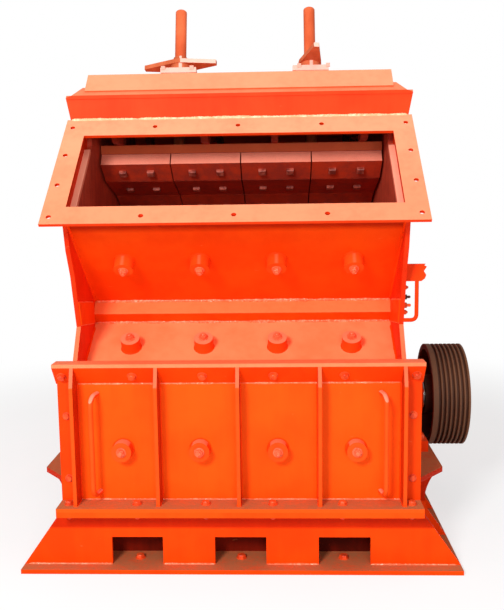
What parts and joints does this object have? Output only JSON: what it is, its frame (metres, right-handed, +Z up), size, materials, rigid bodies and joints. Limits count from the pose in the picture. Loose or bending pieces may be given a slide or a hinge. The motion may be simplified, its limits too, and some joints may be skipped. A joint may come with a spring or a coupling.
{
  "type": "impact crusher",
  "caption": "Stationary impact crusher with a sloping feed mouth, bolted front cover, belt-driven rotor and hung impact apron.",
  "frame": {"origin": "on the ground, at the middle of the anchor bolt pattern and of the base plate", "axes": "+Z up, feed mouth towards -Y, belt pulley towards +X"},
  "size_m": [2.166, 2.3409, 2.7731],
  "materials": {
    "housing_paint": "gloss orange-red enamel, dusty on top",
    "wear_steel": "dusty wear steel",
    "apron_paint": "dark red primer",
    "shaft_steel": "oiled machined steel",
    "pulley_iron": "dark cast iron"
  },
  "bodies": {
    "housing": {"base_plate": "housing_paint", "base_end_plates": "housing_paint", "base_side_walls": "housing_paint", "base_cross_walls": "housing_paint", "base_gussets": "housing_paint", "base_flange": "housing_paint", "lower_side_plates": "housing_paint", "lower_front_wall": "housing_paint", "lower_rear_wall": "housing_paint", "cover_frame": "housing_paint", "cover_plate": "housing_paint", "cover_ribs": "housing_paint", "cover_flanges": "housing_paint", "cover_bars": "housing_paint", "cover_handles": "housing_paint", "liner_bolt_bosses": "housing_paint", "bearing_shelves": "housing_paint", "shelf_webs": "housing_paint", "bearing_housings": "housing_paint", "shaft_seals": "housing_paint", "upper_side_plates": "housing_paint", "upper_front_wall": "housing_paint", "angle_bar": "housing_paint", "feed_flange": "housing_paint", "top_bar": "housing_paint", "chute_bars": "housing_paint", "front_roof": "housing_paint", "roof_skirts": "housing_paint", "rod_pads": "housing_paint", "lower_flange": "housing_paint", "front_half_flange": "housing_paint", "rear_half_flange": "housing_paint", "rear_side_plates": "housing_paint", "rear_roof": "housing_paint", "rear_wall": "housing_paint", "side_liners": "wear_steel", "apron_pivots": "shaft_steel", "rear_apron_frame": "apron_paint", "rear_apron_plates": "wear_steel", "rear_apron_rods": "shaft_steel", "side_bracket": "housing_paint", "side_handle": "housing_paint"},
    "rotor": {"rotor_shaft": "shaft_steel", "rotor_hub": "wear_steel", "rotor_body": "wear_steel", "blow_bars": "wear_steel", "bar_wedges": "wear_steel", "belt_pulley": "pulley_iron"},
    "front_apron": {"front_apron_frame": "apron_paint", "front_apron_plates": "wear_steel"},
    "front_rods": {"adjusting_rods": "housing_paint", "lock_plates": "housing_paint"}
  },
  "joints": [
    {"name": "rotor_spin", "type": "hinge", "parent": "housing", "child": "rotor", "pos_m": [0, -0.2, 0.61], "axis": [1, 0, 0], "continuous": true},
    {"name": "front_apron_swing", "type": "hinge", "parent": "housing", "child": "front_apron", "pos_m": [0, -0.552, 2.032], "axis": [1, 0, 0], "range_deg": [0, 5]},
    {"name": "front_rods_lift", "type": "slide", "parent": "housing", "child": "front_rods", "axis": [0, 0.309, 0.9511], "range_m": [0, 0.0506]}
  ],
  "couplings": [
    {"joint": "front_rods_lift", "follows": "front_apron_swing", "m_per_rad": 0.57935}
  ]
}
